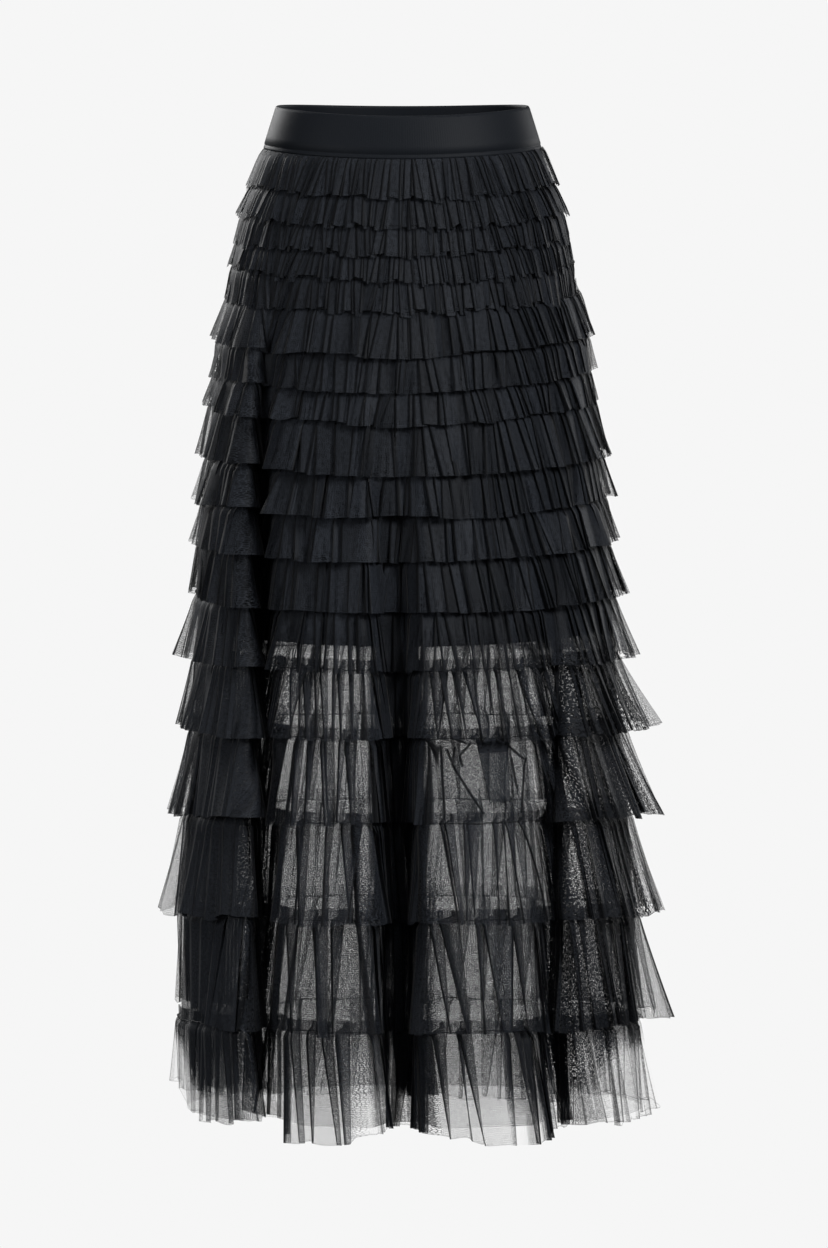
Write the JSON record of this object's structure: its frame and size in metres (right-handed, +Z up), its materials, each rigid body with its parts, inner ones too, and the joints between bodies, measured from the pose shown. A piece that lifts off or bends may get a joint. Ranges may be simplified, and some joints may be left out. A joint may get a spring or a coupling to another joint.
{
  "type": "midi skirt",
  "caption": "Long flared black tulle skirt in worn shape, with gathered ruffle tiers on a sheer base, an opaque short lining and a smooth elastic waistband.",
  "frame": {"origin": "middle of the waist opening, halfway up the waistband, where the wearer's waist holds the skirt", "axes": "+Z up along the skirt's length, -Y towards the front, +X towards the viewer's right as the front is seen"},
  "size_m": [0.4664, 0.3992, 0.9655],
  "materials": {
    "satin_elastic": "smooth satin-faced elastic, near black with a slight blue tone, soft sheen",
    "lining_cloth": "opaque matte knit lining, black",
    "base_tulle": "sheer fine mesh, black",
    "ruffle_tulle": "sheer soft tulle, black with a slight blue tone, gathered"
  },
  "bodies": {
    "root": {"waistband": "satin_elastic", "lining_front": "lining_cloth", "lining_back": "lining_cloth", "base_front": "base_tulle", "base_back": "base_tulle", "ruffle_01": "ruffle_tulle", "ruffle_02": "ruffle_tulle", "ruffle_03": "ruffle_tulle", "ruffle_04": "ruffle_tulle", "ruffle_05": "ruffle_tulle", "ruffle_06": "ruffle_tulle", "ruffle_07": "ruffle_tulle", "ruffle_08": "ruffle_tulle", "ruffle_09": "ruffle_tulle", "ruffle_10": "ruffle_tulle", "ruffle_11": "ruffle_tulle", "ruffle_12": "ruffle_tulle", "ruffle_13": "ruffle_tulle", "ruffle_14": "ruffle_tulle", "ruffle_15": "ruffle_tulle", "ruffle_16": "ruffle_tulle", "ruffle_17": "ruffle_tulle", "ruffle_18": "ruffle_tulle"}
  },
  "joints": []
}
